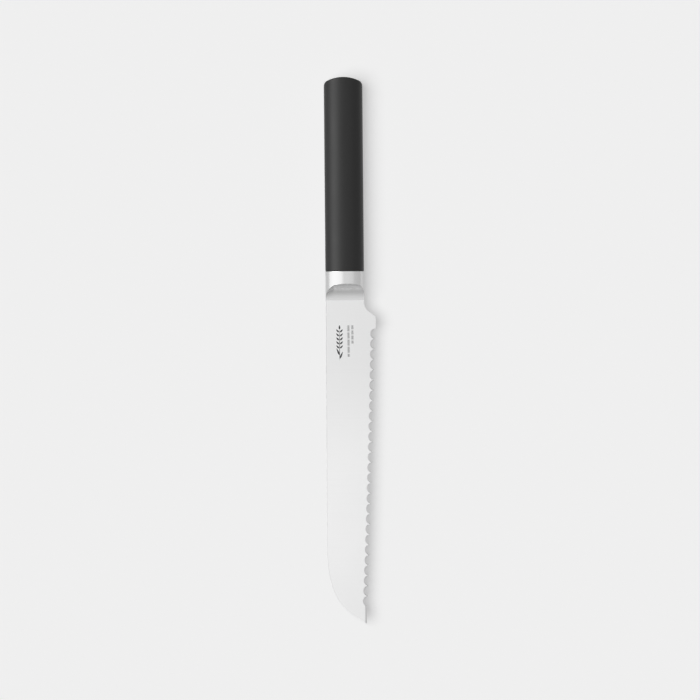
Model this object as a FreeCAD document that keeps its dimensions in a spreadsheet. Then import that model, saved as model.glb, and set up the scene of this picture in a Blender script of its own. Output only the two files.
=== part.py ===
import FreeCAD, Part
import math
import os
import Sketcher
from FreeCAD import Placement, Rotation, Vector

# A bread knife: a scalloped stainless blade, butt welded to an oval steel bolster that is
# scooped down to the blade on both faces, and a two-shot plastic handle on a flat tang.
#
# The knife is drawn about its joint. X runs across the blade from the spine (-X) to the cutting
# edge (+X), Y runs along it from the tip (-Y) to the butt (+Y), Z is its thickness, and the zero
# point is the middle of the joint between the bolster and the handle. At the end every piece is
# moved so that the origin lies under the middle of the whole knife, on the surface it lies on.

# Every driving size in millimetres or degrees: name, value, what it is.
DIMENSIONS = [
    ("handle_length", 118.8, "bolster joint to the crown of the butt"),
    ("handle_width", 23.7, "spine side to edge side, handle and bolster"),
    ("handle_thickness", 17.0, "face to face, handle and bolster"),
    ("butt_radius", 25.0, "plan radius of the butt"),
    ("butt_rounding", 0.9, "rounding round the butt"),
    ("mouth_rounding", 0.3, "rounding of the grip's front rim"),
    ("grip_wall", 3.2, "outer shot of plastic over the core"),
    ("cavity_depth", 104.0, "length of the space in the grip"),
    ("seal_thickness", 0.4, "sealant layer in the bolster joint"),
    ("seal_recess", 0.15, "sealant lies this far below the surface"),
    ("bolster_length", 17.6, "joint to the welded front lip"),
    ("scoop_radius", 10.4, "ground scoop on each face"),
    ("spigot_length", 4.0, "bolster's nose inside the grip"),
    ("tang_width", 12.0, "steel strip inside the handle"),
    ("tang_thickness", 2.0, "the strip's own thickness"),
    ("tang_length", 88.0, "from the joint to the tang's end"),
    ("tang_socket", 6.0, "depth of the tang's slot in the bolster"),
    ("tang_end_radius", 4.0, "corner rounding at the tang's end"),
    ("lock_hole_diameter", 5.0, "holes that the bond fills"),
    ("lock_hole_first", 24.0, "joint to the first hole"),
    ("lock_hole_pitch", 24.0, "one hole to the next"),
    ("lock_hole_count", 3, "holes in the row"),
    ("bond_gap", 0.6, "bond all round the tang"),
    ("blade_reach", 216.2, "bolster joint to the tip"),
    ("spine_thickness", 2.0, "at the bolster"),
    ("tip_thickness", 1.6, "along the spine, at the tip"),
    ("edge_thickness", 0.5, "before the scallops are ground, at the heel"),
    ("choil_start", 18.8, "joint to the start of the hollow under the bolster"),
    ("choil_radius", 7.4, "radius of that hollow"),
    ("choil_turn", 53.0, "degrees the hollow turns through"),
    ("heel_radius", 2.0, "rounded corner between the hollow and the edge"),
    ("heel_back", 28.9, "joint to the widest place of the blade"),
    ("heel_reach", 19.1, "handle axis to the edge at the widest place"),
    ("edge_arc_radius", 8000.0, "long bow of the cutting edge"),
    ("edge_arc_ahead", 170.0, "its centre lies this far up the handle"),
    ("spine_flare", 0.6, "the blade's spine stands out this far where the nose starts"),
    ("nose_radius_1", 78.1, "first sweep of the spine towards the tip"),
    ("nose_turn_1", 16.1, "degrees the first sweep turns through"),
    ("nose_radius_2", 32.3, "second, tighter sweep"),
    ("nose_turn_2", 41.4, "degrees the second sweep turns through"),
    ("scallop_first", 35.2, "joint to the first scallop"),
    ("scallop_pitch", 6.31, "one scallop to the next, along the edge"),
    ("scallop_radius", 3.28, "round form of a scallop, seen on the blade's face"),
    ("scallop_depth", 2.97, "edge line to the scallop's floor, at mid thickness"),
    ("scallop_angle", 31.0, "degrees between the ground bevel and the blade"),
    ("tip_plain", 10.6, "plain edge between the last scallop and the tip"),
    ("tip_step", 0.9, "the plain edge is ground back this far from the line of the scallops"),
    ("tip_trim", 0.45, "and this far into the last scallop, so that it leaves no tooth"),
    ("tip_bevel", 1.1, "width of the bevel on the plain edge"),
]

# Room that cutting sketches take beyond the piece they cut.
MARGIN = 3.0

doc = FreeCAD.newDocument("bread_knife")
sheet = doc.addObject("Spreadsheet::Sheet", "Sheet")
for row, (alias, value, meaning) in enumerate(DIMENSIONS, start=1):
    sheet.set(f"A{row}", alias)
    sheet.set(f"B{row}", str(value))
    sheet.set(f"C{row}", meaning)
    sheet.setAlias(f"B{row}", alias)
doc.recompute()


def size(alias):
    """A driving size, read from the sheet."""
    return float(sheet.get(alias))


# Lengths that several pieces share, as expressions on the sheet.
HALF_WIDTH = "Sheet.handle_width / 2"
CORE_WIDTH = "(Sheet.handle_width - 2 * Sheet.grip_wall)"
CORE_THICKNESS = "(Sheet.handle_thickness - 2 * Sheet.grip_wall)"
SCALLOP_ROOM = "(Sheet.blade_reach - Sheet.tip_plain - Sheet.scallop_first)"
SCALLOP_COUNT = f"floor({SCALLOP_ROOM} / Sheet.scallop_pitch + 0.5)"
SCALLOP_END = f"(Sheet.scallop_first + {SCALLOP_COUNT} * Sheet.scallop_pitch)"
PLAIN_START = f"({SCALLOP_END} - Sheet.tip_trim)"
EDGE_DROP = "(Sheet.heel_back + Sheet.edge_arc_ahead)"
EDGE_CENTRE = f"(sqrt(Sheet.edge_arc_radius ^ 2 - {EDGE_DROP} ^ 2) - Sheet.heel_reach)"
WEDGE_WIDTH = "(Sheet.heel_reach + Sheet.handle_width / 2)"
WEDGE_ANGLE = f"atan((Sheet.spine_thickness - Sheet.edge_thickness) / 2 / {WEDGE_WIDTH})"
CAVITY_END = "(Sheet.seal_thickness + Sheet.cavity_depth)"
SOCKET_END = "(Sheet.tang_length + Sheet.bond_gap)"
SOCKET_SIDE = "(Sheet.tang_width / 2 + Sheet.bond_gap)"
SOCKET_FACE = "(Sheet.tang_thickness / 2 + Sheet.bond_gap)"

# The same lengths as numbers, for the first position of a sketch's points.
half_width = size("handle_width") / 2
scallop_room = size("blade_reach") - size("tip_plain") - size("scallop_first")
scallop_count = math.floor(scallop_room / size("scallop_pitch") + 0.5)
scallop_end = size("scallop_first") + scallop_count * size("scallop_pitch")
plain_start = scallop_end - size("tip_trim")
edge_drop = size("heel_back") + size("edge_arc_ahead")
edge_centre = math.sqrt(size("edge_arc_radius") ** 2 - edge_drop ** 2) - size("heel_reach")


def edge_x(along):
    """How far the cutting edge lies from the handle's axis, at a distance from the joint."""
    drop = along + size("edge_arc_ahead")
    return math.sqrt(size("edge_arc_radius") ** 2 - drop ** 2) - edge_centre


# ---------------------------------------------------------------- building blocks

def new_body(label):
    body = doc.addObject("PartDesign::Body", label)
    body.Label = label
    return body


def origin_plane(body, role):
    for feature in body.Origin.OriginFeatures:
        if feature.Role == role:
            return feature
    raise RuntimeError(f"{body.Label} has no {role}")


def new_sketch(body, name, role, lift=None):
    """A sketch on one of the body's own planes, lifted along the plane's normal."""
    sketch = body.newObject("Sketcher::SketchObject", f"{body.Label}_{name}")
    sketch.AttachmentSupport = [(origin_plane(body, role), "")]
    sketch.MapMode = "FlatFace"
    if lift:
        sketch.setExpression("AttachmentOffset.Base.z", lift)
    return sketch


def bind(sketch, name, constraint, expression):
    """Add a named sketch constraint and tie it to the sheet."""
    index = sketch.addConstraint(constraint)
    sketch.renameConstraint(index, name)
    sketch.setExpression(f"Constraints.{name}", expression)


def add_ellipse(sketch, name, width, thickness):
    """An ellipse about the sketch's origin, with its long axis across the knife."""
    wide = 10.0
    thin = 6.0
    ellipse = sketch.addGeometry(Part.Ellipse(Vector(0, 0, 0), wide, thin), False)
    sketch.exposeInternalGeometry(ellipse)
    sketch.addConstraint(Sketcher.Constraint("Coincident", ellipse, 3, -1, 1))
    long_axis = ellipse + 1
    short_axis = ellipse + 2
    sketch.addConstraint(Sketcher.Constraint("Horizontal", long_axis))
    bind(sketch, f"{name}_width", Sketcher.Constraint("Distance", long_axis, 2 * wide), width)
    bind(sketch, f"{name}_thickness", Sketcher.Constraint("Distance", short_axis, 2 * thin),
         thickness)


def add_rectangle(sketch, name, left, right, low, high):
    """A rectangle whose four sides are expressions, measured from the sketch's origin.

    Sides must lie where their names say: left and low are distances on the negative side,
    right and high on the positive side.
    """
    corners = [Vector(-1, -1, 0), Vector(1, -1, 0), Vector(1, 1, 0), Vector(-1, 1, 0)]
    first = sketch.GeometryCount
    for start, end in zip(corners, corners[1:] + corners[:1]):
        sketch.addGeometry(Part.LineSegment(start, end), False)
    for side in range(4):
        after = first + (side + 1) % 4
        sketch.addConstraint(Sketcher.Constraint("Coincident", first + side, 2, after, 1))
    sketch.addConstraint(Sketcher.Constraint("Horizontal", first))
    sketch.addConstraint(Sketcher.Constraint("Vertical", first + 1))
    sketch.addConstraint(Sketcher.Constraint("Horizontal", first + 2))
    sketch.addConstraint(Sketcher.Constraint("Vertical", first + 3))
    bind(sketch, f"{name}_left", Sketcher.Constraint("DistanceX", first, 1, -1, 1, 1), left)
    bind(sketch, f"{name}_low", Sketcher.Constraint("DistanceY", first, 1, -1, 1, 1), low)
    bind(sketch, f"{name}_right", Sketcher.Constraint("DistanceX", -1, 1, first + 1, 2, 1), right)
    bind(sketch, f"{name}_high", Sketcher.Constraint("DistanceY", -1, 1, first + 1, 2, 1), high)


def pad(body, sketch, length, reverse=False, both_sides=False):
    feature = body.newObject("PartDesign::Pad", f"{sketch.Name}_pad")
    feature.Profile = sketch
    feature.Reversed = reverse
    feature.Midplane = both_sides
    feature.setExpression("Length", length)
    sketch.Visibility = False
    return feature


def pocket(body, sketch, length, reverse=False, both_sides=False):
    """A cut that fails loudly when it takes nothing away."""
    doc.recompute()
    before = body.Shape.Volume
    feature = body.newObject("PartDesign::Pocket", f"{sketch.Name}_pocket")
    feature.Profile = sketch
    feature.Reversed = reverse
    feature.Midplane = both_sides
    feature.setExpression("Length", length)
    sketch.Visibility = False
    doc.recompute()
    if not body.Shape.Volume < before:
        raise RuntimeError(f"{feature.Name} cuts nothing")
    return feature


def fillet(body, name, radius, chosen):
    """Round the edges of the body's last feature that the test picks."""
    doc.recompute()
    base = body.Tip
    names = [f"Edge{number}" for number, edge in enumerate(base.Shape.Edges, start=1)
             if chosen(edge)]
    if not names:
        raise RuntimeError(f"{body.Label} has no edge for {name}")
    feature = body.newObject("PartDesign::Fillet", f"{body.Label}_{name}")
    feature.Base = (base, names)
    feature.setExpression("Radius", radius)
    doc.recompute()
    return feature


def mirror(body, feature, role):
    mirrored = body.newObject("PartDesign::Mirrored", f"{feature.Name}_mirrored")
    mirrored.Originals = [feature]
    mirrored.MirrorPlane = (origin_plane(body, role), [""])
    body.Tip = mirrored
    doc.recompute()
    return mirrored


# ---------------------------------------------------------------- shared cuts and outlines

def grind_faces(body):
    """Grind both faces: the wedge of the blade, running up into the bolster's scoops.

    The sketch stands along the spine and leans by the wedge angle, so one long cut gives the
    blade its taper from spine to edge and the scoop its tangent run-out on the blade's face.
    """
    sketch = body.newObject("Sketcher::SketchObject", f"{body.Label}_grind")
    sketch.AttachmentSupport = [(origin_plane(body, "YZ_Plane"), "")]
    sketch.MapMode = "FlatFace"
    sketch.AttachmentOffset = Placement(Vector(0, 0, 0), Rotation(Vector(1, 0, 0), 1.0))
    sketch.setExpression("AttachmentOffset.Base.z", f"-{HALF_WIDTH}")
    sketch.setExpression("AttachmentOffset.Rotation.Angle", WEDGE_ANGLE)

    lip = -size("bolster_length")
    spine = size("spine_thickness") / 2
    far = -size("blade_reach") - MARGIN
    radius = size("scoop_radius")
    fall = (size("spine_thickness") - size("tip_thickness")) / 2
    taper = math.atan(fall / (size("blade_reach") - size("bolster_length")))
    tip = spine - (lip - far) * math.tan(taper)
    centre = Vector(lip - radius * math.sin(taper), spine + radius * math.cos(taper), 0)
    shoulder = centre + Vector(radius, 0, 0)
    top = centre.y + MARGIN
    face = sketch.addGeometry(Part.LineSegment(Vector(far, tip, 0), Vector(lip, spine, 0)), False)
    circle = Part.Circle(centre, Vector(0, 0, 1), radius)
    scoop = sketch.addGeometry(Part.ArcOfCircle(circle, 1.5 * math.pi + taper, 2 * math.pi), False)
    rise = sketch.addGeometry(Part.LineSegment(shoulder, Vector(shoulder.x, top, 0)), False)
    roof = sketch.addGeometry(
        Part.LineSegment(Vector(shoulder.x, top, 0), Vector(far, top, 0)), False)
    wall = sketch.addGeometry(Part.LineSegment(Vector(far, top, 0), Vector(far, tip, 0)), False)
    sketch.addConstraint(Sketcher.Constraint("Tangent", face, 2, scoop, 1))
    sketch.addConstraint(Sketcher.Constraint("Tangent", scoop, 2, rise, 1))
    sketch.addConstraint(Sketcher.Constraint("Coincident", rise, 2, roof, 1))
    sketch.addConstraint(Sketcher.Constraint("Coincident", roof, 2, wall, 1))
    sketch.addConstraint(Sketcher.Constraint("Coincident", wall, 2, face, 1))
    sketch.addConstraint(Sketcher.Constraint("Vertical", rise))
    sketch.addConstraint(Sketcher.Constraint("Horizontal", roof))
    sketch.addConstraint(Sketcher.Constraint("Vertical", wall))
    bind(sketch, "scoop_radius", Sketcher.Constraint("Radius", scoop, radius),
         "Sheet.scoop_radius")
    bind(sketch, "lip", Sketcher.Constraint("DistanceX", face, 2, -1, 1, -lip),
         "Sheet.bolster_length")
    bind(sketch, "spine", Sketcher.Constraint("DistanceY", -1, 1, face, 2, spine),
         "Sheet.spine_thickness / 2")
    bind(sketch, "taper", Sketcher.Constraint("Angle", face, taper),
         "atan((Sheet.spine_thickness - Sheet.tip_thickness) / 2"
         " / (Sheet.blade_reach - Sheet.bolster_length))")
    bind(sketch, "far", Sketcher.Constraint("DistanceX", face, 1, -1, 1, -far),
         f"Sheet.blade_reach + {MARGIN}")
    bind(sketch, "roof", Sketcher.Constraint("DistanceY", rise, MARGIN),
         "Sheet.handle_thickness")
    cut = pocket(body, sketch, f"4 * {WEDGE_WIDTH}", both_sides=True)
    return mirror(body, cut, "XY_Plane")


def add_tang_outline(sketch):
    """The tang seen on its face: a strip with rounded end corners and a row of lock holes."""
    add = sketch.addGeometry
    half = size("tang_width") / 2
    root = -size("tang_socket")
    end = size("tang_length")
    radius = size("tang_end_radius")
    left_centre = Part.Circle(Vector(-half + radius, end - radius, 0), Vector(0, 0, 1), radius)
    right_centre = Part.Circle(Vector(half - radius, end - radius, 0), Vector(0, 0, 1), radius)
    base = add(Part.LineSegment(Vector(-half, root, 0), Vector(half, root, 0)), False)
    right = add(Part.LineSegment(Vector(half, root, 0), Vector(half, end - radius, 0)), False)
    corner_1 = add(Part.ArcOfCircle(right_centre, 0, math.pi / 2), False)
    top = add(Part.LineSegment(Vector(half - radius, end, 0), Vector(radius - half, end, 0)), False)
    corner_2 = add(Part.ArcOfCircle(left_centre, math.pi / 2, math.pi), False)
    left = add(Part.LineSegment(Vector(-half, end - radius, 0), Vector(-half, root, 0)), False)
    constrain = sketch.addConstraint
    constrain(Sketcher.Constraint("Coincident", base, 2, right, 1))
    constrain(Sketcher.Constraint("Tangent", right, 2, corner_1, 1))
    constrain(Sketcher.Constraint("Tangent", corner_1, 2, top, 1))
    constrain(Sketcher.Constraint("Tangent", top, 2, corner_2, 1))
    constrain(Sketcher.Constraint("Tangent", corner_2, 2, left, 1))
    constrain(Sketcher.Constraint("Coincident", left, 2, base, 1))
    constrain(Sketcher.Constraint("Horizontal", base))
    constrain(Sketcher.Constraint("Horizontal", top))
    constrain(Sketcher.Constraint("Vertical", right))
    constrain(Sketcher.Constraint("Vertical", left))
    constrain(Sketcher.Constraint("Equal", corner_1, corner_2))
    bind(sketch, "width", Sketcher.Constraint("Distance", base, 2 * half), "Sheet.tang_width")
    bind(sketch, "side", Sketcher.Constraint("DistanceX", base, 1, -1, 1, half),
         "Sheet.tang_width / 2")
    bind(sketch, "root", Sketcher.Constraint("DistanceY", base, 1, -1, 1, -root),
         "Sheet.tang_socket")
    bind(sketch, "end", Sketcher.Constraint("DistanceY", -1, 1, top, 1, end), "Sheet.tang_length")
    bind(sketch, "corner", Sketcher.Constraint("Radius", corner_1, radius),
         "Sheet.tang_end_radius")
    for number in range(int(size("lock_hole_count"))):
        along = size("lock_hole_first") + number * size("lock_hole_pitch")
        hole_radius = size("lock_hole_diameter") / 2
        hole = add(Part.Circle(Vector(0, along, 0), Vector(0, 0, 1), hole_radius), False)
        constrain(Sketcher.Constraint("PointOnObject", hole, 3, -2))
        bind(sketch, f"hole_{number}", Sketcher.Constraint("Diameter", hole, 2 * hole_radius),
             "Sheet.lock_hole_diameter")
        bind(sketch, f"hole_{number}_along",
             Sketcher.Constraint("DistanceY", -1, 1, hole, 3, along),
             f"Sheet.lock_hole_first + {number} * Sheet.lock_hole_pitch")


def add_butt_cut(sketch):
    """All that lies beyond the bowed end of the grip, with room to spare at the sides."""
    length = size("handle_length")
    radius = size("butt_radius")
    side = half_width + 1
    lean = math.asin(side / radius)
    low = length - radius + radius * math.cos(lean)
    high = length + MARGIN
    circle = Part.Circle(Vector(0, length - radius, 0), Vector(0, 0, 1), radius)
    bow = sketch.addGeometry(
        Part.ArcOfCircle(circle, math.pi / 2 - lean, math.pi / 2 + lean), False)
    corners = [Vector(-side, low, 0), Vector(-side, high, 0), Vector(side, high, 0),
               Vector(side, low, 0)]
    for start, end in zip(corners, corners[1:]):
        sketch.addGeometry(Part.LineSegment(start, end), False)
    left = bow + 1
    roof = bow + 2
    right = bow + 3
    sketch.addConstraint(Sketcher.Constraint("Coincident", bow, 2, left, 1))
    sketch.addConstraint(Sketcher.Constraint("Coincident", left, 2, roof, 1))
    sketch.addConstraint(Sketcher.Constraint("Coincident", roof, 2, right, 1))
    sketch.addConstraint(Sketcher.Constraint("Coincident", right, 2, bow, 1))
    sketch.addConstraint(Sketcher.Constraint("Vertical", left))
    sketch.addConstraint(Sketcher.Constraint("Horizontal", roof))
    sketch.addConstraint(Sketcher.Constraint("Vertical", right))
    sketch.addConstraint(Sketcher.Constraint("PointOnObject", bow, 3, -2))
    bind(sketch, "radius", Sketcher.Constraint("Radius", bow, radius), "Sheet.butt_radius")
    bind(sketch, "crown", Sketcher.Constraint("DistanceY", -1, 1, bow, 3, length - radius),
         "Sheet.handle_length - Sheet.butt_radius")
    bind(sketch, "left", Sketcher.Constraint("DistanceX", left, 1, -1, 1, side),
         f"{HALF_WIDTH} + 1")
    bind(sketch, "right", Sketcher.Constraint("DistanceX", -1, 1, right, 1, side),
         f"{HALF_WIDTH} + 1")
    bind(sketch, "roof", Sketcher.Constraint("DistanceY", -1, 1, roof, 1, high),
         f"Sheet.handle_length + {MARGIN}")


def on_butt_bow(edge):
    """True for an edge that runs along the bowed end face of the grip."""
    centre = size("handle_length") - size("butt_radius")
    for point in edge.discretize(5):
        if abs(math.hypot(point.x, point.y - centre) - size("butt_radius")) > 0.01:
            return False
    return True


def on_mouth_rim(edge):
    """True for the outer edge of the grip's open end."""
    for point in edge.discretize(5):
        if abs(point.y - size("seal_thickness")) > 0.001:
            return False
    return edge.BoundBox.XLength > size("handle_width") - size("grip_wall")


# ---------------------------------------------------------------- blade

def add_blade_outline(sketch):
    """The blade seen on its face, anticlockwise from the bolster's spine side."""
    add = sketch.addGeometry
    up = Vector(0, 0, 1)
    rear = -size("bolster_length")
    tip = Vector(edge_x(plain_start) - size("tip_step"), -size("blade_reach"), 0)
    r1 = size("nose_radius_1")
    r2 = size("nose_radius_2")
    turn_1 = math.radians(size("nose_turn_1"))
    turn_2 = turn_1 + math.radians(size("nose_turn_2"))
    across = r1 * (1 - math.cos(turn_1)) + r2 * (math.cos(turn_1) - math.cos(turn_2))
    along = r1 * math.sin(turn_1) + r2 * (math.sin(turn_2) - math.sin(turn_1))
    spine_low = -half_width - size("spine_flare")
    chamfer = (tip.x - spine_low - across) / math.sin(turn_2)
    nose_start = tip.y + chamfer * math.cos(turn_2) + along
    centre_1 = Vector(r1 + spine_low, nose_start, 0)
    meet = centre_1 - Vector(math.cos(turn_1), math.sin(turn_1), 0) * r1
    centre_2 = meet + Vector(math.cos(turn_1), math.sin(turn_1), 0) * r2
    leave = centre_2 - Vector(math.cos(turn_2), math.sin(turn_2), 0) * r2

    choil_r = size("choil_radius")
    choil_turn = math.radians(size("choil_turn"))
    choil_centre = Vector(half_width + choil_r, -size("choil_start"), 0)
    choil_end = choil_centre - Vector(math.cos(choil_turn), math.sin(choil_turn), 0) * choil_r
    heel_r = size("heel_radius")
    heel_slope = Vector(math.sin(choil_turn), -math.cos(choil_turn), 0)
    heel_run = (size("heel_reach") - choil_end.x) / heel_slope.x
    corner = choil_end + heel_slope * heel_run
    heel_tangent = heel_r * math.tan(choil_turn / 2)
    heel_leave = corner - heel_slope * heel_tangent
    heel_centre = Vector(corner.x - heel_r, corner.y - heel_tangent, 0)

    edge_mid = Vector(-edge_centre, size("edge_arc_ahead"), 0)
    edge_low = -math.asin((plain_start + size("edge_arc_ahead")) / size("edge_arc_radius"))
    edge_high = -math.asin((size("edge_arc_ahead") - heel_centre.y) / size("edge_arc_radius"))
    edge_low_point = Vector(edge_x(plain_start), -plain_start, 0)
    plain_end = Vector(tip.x, -plain_start, 0)

    spine = add(Part.LineSegment(Vector(-half_width, rear, 0),
                                 Vector(spine_low, nose_start, 0)), False)
    nose_1 = add(Part.ArcOfCircle(Part.Circle(centre_1, up, r1), math.pi, math.pi + turn_1), False)
    nose_2 = add(Part.ArcOfCircle(Part.Circle(centre_2, up, r2), math.pi + turn_1,
                                  math.pi + turn_2), False)
    nose_end = add(Part.LineSegment(leave, tip), False)
    plain = add(Part.LineSegment(tip, plain_end), False)
    step = add(Part.LineSegment(plain_end, edge_low_point), False)
    edge = add(Part.ArcOfCircle(Part.Circle(edge_mid, up, size("edge_arc_radius")),
                                edge_low, edge_high), False)
    heel = add(Part.ArcOfCircle(Part.Circle(heel_centre, up, heel_r), 0, choil_turn), False)
    slope = add(Part.LineSegment(heel_leave, choil_end), False)
    choil = add(Part.ArcOfCircle(Part.Circle(choil_centre, up, choil_r), math.pi,
                                 math.pi + choil_turn), False)
    side = add(Part.LineSegment(Vector(half_width, choil_centre.y, 0),
                                Vector(half_width, rear, 0)), False)
    weld = add(Part.LineSegment(Vector(half_width, rear, 0), Vector(-half_width, rear, 0)), False)

    constrain = sketch.addConstraint
    constrain(Sketcher.Constraint("Tangent", spine, 2, nose_1, 1))
    constrain(Sketcher.Constraint("Tangent", nose_1, 2, nose_2, 1))
    constrain(Sketcher.Constraint("Tangent", nose_2, 2, nose_end, 1))
    constrain(Sketcher.Constraint("Coincident", nose_end, 2, plain, 1))
    constrain(Sketcher.Constraint("Coincident", plain, 2, step, 1))
    constrain(Sketcher.Constraint("Coincident", step, 2, edge, 1))
    constrain(Sketcher.Constraint("Tangent", edge, 2, heel, 1))
    constrain(Sketcher.Constraint("Tangent", heel, 2, slope, 1))
    constrain(Sketcher.Constraint("Tangent", slope, 2, choil, 2))
    constrain(Sketcher.Constraint("Tangent", choil, 1, side, 1))
    constrain(Sketcher.Constraint("Coincident", side, 2, weld, 1))
    constrain(Sketcher.Constraint("Coincident", weld, 2, spine, 1))
    constrain(Sketcher.Constraint("Vertical", plain))
    constrain(Sketcher.Constraint("Horizontal", step))
    constrain(Sketcher.Constraint("Vertical", side))
    constrain(Sketcher.Constraint("Horizontal", weld))
    bind(sketch, "spine_side", Sketcher.Constraint("DistanceX", spine, 1, -1, 1, half_width),
         HALF_WIDTH)
    bind(sketch, "spine_flare",
         Sketcher.Constraint("DistanceX", spine, 2, spine, 1, size("spine_flare")),
         "Sheet.spine_flare")
    bind(sketch, "edge_side", Sketcher.Constraint("DistanceX", -1, 1, side, 1, half_width),
         HALF_WIDTH)
    bind(sketch, "rear", Sketcher.Constraint("DistanceY", weld, 1, -1, 1, -rear),
         "Sheet.bolster_length")
    bind(sketch, "nose_radius_1", Sketcher.Constraint("Radius", nose_1, r1),
         "Sheet.nose_radius_1")
    bind(sketch, "nose_radius_2", Sketcher.Constraint("Radius", nose_2, r2),
         "Sheet.nose_radius_2")
    bind(sketch, "nose_turn_1", Sketcher.Constraint("Angle", nose_1, turn_1),
         "Sheet.nose_turn_1 * 1deg")
    bind(sketch, "nose_turn_2", Sketcher.Constraint("Angle", nose_2, turn_2 - turn_1),
         "Sheet.nose_turn_2 * 1deg")
    bind(sketch, "reach", Sketcher.Constraint("DistanceY", nose_end, 2, -1, 1, -tip.y),
         "Sheet.blade_reach")
    bind(sketch, "plain_start", Sketcher.Constraint("DistanceY", plain, 2, -1, 1, plain_start),
         PLAIN_START)
    bind(sketch, "tip_step", Sketcher.Constraint("DistanceX", step, 1, step, 2, size("tip_step")),
         "Sheet.tip_step")
    bind(sketch, "edge_radius", Sketcher.Constraint("Radius", edge, size("edge_arc_radius")),
         "Sheet.edge_arc_radius")
    bind(sketch, "edge_ahead",
         Sketcher.Constraint("DistanceY", -1, 1, edge, 3, size("edge_arc_ahead")),
         "Sheet.edge_arc_ahead")
    bind(sketch, "edge_centre", Sketcher.Constraint("DistanceX", edge, 3, -1, 1, edge_centre),
         EDGE_CENTRE)
    bind(sketch, "heel_radius", Sketcher.Constraint("Radius", heel, heel_r), "Sheet.heel_radius")
    bind(sketch, "choil_radius", Sketcher.Constraint("Radius", choil, choil_r),
         "Sheet.choil_radius")
    bind(sketch, "choil_start",
         Sketcher.Constraint("DistanceY", choil, 1, -1, 1, size("choil_start")),
         "Sheet.choil_start")
    bind(sketch, "choil_turn", Sketcher.Constraint("Angle", choil, choil_turn),
         "Sheet.choil_turn * 1deg")


def cut_scallops(body):
    """One round scallop ground at a slant from the front, then stepped along the edge's bow."""
    sketch = new_sketch(body, "scallop", "XY_Plane")
    sketch.setExpression("AttachmentOffset.Base.x", f"-{EDGE_CENTRE}")
    sketch.setExpression("AttachmentOffset.Base.y", "Sheet.edge_arc_ahead")
    first_middle = size("scallop_first") + size("scallop_pitch") / 2
    drop = first_middle + size("edge_arc_ahead")
    reach = size("edge_arc_radius") + size("scallop_radius") - size("scallop_depth")
    middle = Vector(math.sqrt(reach ** 2 - drop ** 2), -drop, 0)
    circle = sketch.addGeometry(
        Part.Circle(middle, Vector(0, 0, 1), size("scallop_radius")), False)
    bind(sketch, "radius", Sketcher.Constraint("Radius", circle, size("scallop_radius")),
         "Sheet.scallop_radius")
    bind(sketch, "drop", Sketcher.Constraint("DistanceY", circle, 3, -1, 1, drop),
         "Sheet.scallop_first + Sheet.scallop_pitch / 2 + Sheet.edge_arc_ahead")
    bind(sketch, "reach", Sketcher.Constraint("Distance", -1, 1, circle, 3, reach),
         "Sheet.edge_arc_radius + Sheet.scallop_radius - Sheet.scallop_depth")
    cut = body.newObject("PartDesign::Pocket", f"{body.Label}_first_scallop")
    cut.Profile = sketch
    cut.Midplane = True
    cut.UseCustomVector = True
    cut.Direction = Vector(math.cos(math.radians(size("scallop_angle"))), 0,
                           -math.sin(math.radians(size("scallop_angle"))))
    cut.setExpression("Direction.x", "cos(Sheet.scallop_angle * 1deg)")
    cut.setExpression("Direction.z", "-sin(Sheet.scallop_angle * 1deg)")
    cut.setExpression("Length", "6 * Sheet.spine_thickness")
    sketch.Visibility = False
    doc.recompute()
    steps = body.newObject("PartDesign::PolarPattern", f"{body.Label}_scallops")
    steps.Originals = [cut]
    steps.Axis = (sketch, ["N_Axis"])
    steps.Reversed = True
    steps.setExpression("Occurrences", SCALLOP_COUNT)
    steps.setExpression("Angle", f"({SCALLOP_COUNT} - 1) * Sheet.scallop_pitch"
                                 " / Sheet.edge_arc_radius * 1rad")
    body.Tip = steps
    doc.recompute()
    return steps


def cut_tip_bevel(body):
    """The plain edge before the tip gets a flat bevel on the front face only."""
    sketch = new_sketch(body, "tip_bevel", "XZ_Plane", PLAIN_START)
    outer = edge_x(plain_start) - size("tip_step")
    bevel = size("tip_bevel")
    low = Vector(outer, -size("edge_thickness") / 2, 0)
    points = [low, low + Vector(bevel, 0, 0), Vector(outer + bevel, bevel, 0),
              Vector(outer - bevel, bevel, 0), Vector(outer - bevel, low.y + bevel / 2, 0)]
    for start, end in zip(points, points[1:] + points[:1]):
        sketch.addGeometry(Part.LineSegment(start, end), False)
    for side in range(5):
        sketch.addConstraint(Sketcher.Constraint("Coincident", side, 2, (side + 1) % 5, 1))
    sketch.addConstraint(Sketcher.Constraint("Horizontal", 0))
    sketch.addConstraint(Sketcher.Constraint("Vertical", 1))
    sketch.addConstraint(Sketcher.Constraint("Horizontal", 2))
    sketch.addConstraint(Sketcher.Constraint("Vertical", 3))
    edge_place = (f"sqrt(Sheet.edge_arc_radius ^ 2 - ({PLAIN_START} + Sheet.edge_arc_ahead) ^ 2)"
                  f" - {EDGE_CENTRE} - Sheet.tip_step")
    bind(sketch, "edge", Sketcher.Constraint("DistanceX", -1, 1, 0, 1, outer), edge_place)
    bind(sketch, "back", Sketcher.Constraint("DistanceY", 0, 1, -1, 1, -low.y),
         "Sheet.edge_thickness / 2")
    bind(sketch, "outside", Sketcher.Constraint("DistanceX", 0, 1, 0, 2, bevel),
         "Sheet.tip_bevel")
    bind(sketch, "inside", Sketcher.Constraint("DistanceX", 3, 1, 0, 1, bevel),
         "Sheet.tip_bevel")
    bind(sketch, "roof", Sketcher.Constraint("DistanceY", 0, 1, 3, 1, bevel),
         "Sheet.spine_thickness")
    bind(sketch, "front", Sketcher.Constraint("DistanceY", 0, 1, 4, 1, bevel / 2),
         "Sheet.edge_thickness + 2 * Sheet.tip_bevel * tan(WEDGE)".replace("WEDGE", WEDGE_ANGLE))
    return pocket(body, sketch, f"2 * Sheet.tip_plain + {MARGIN}", reverse=True)


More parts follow.
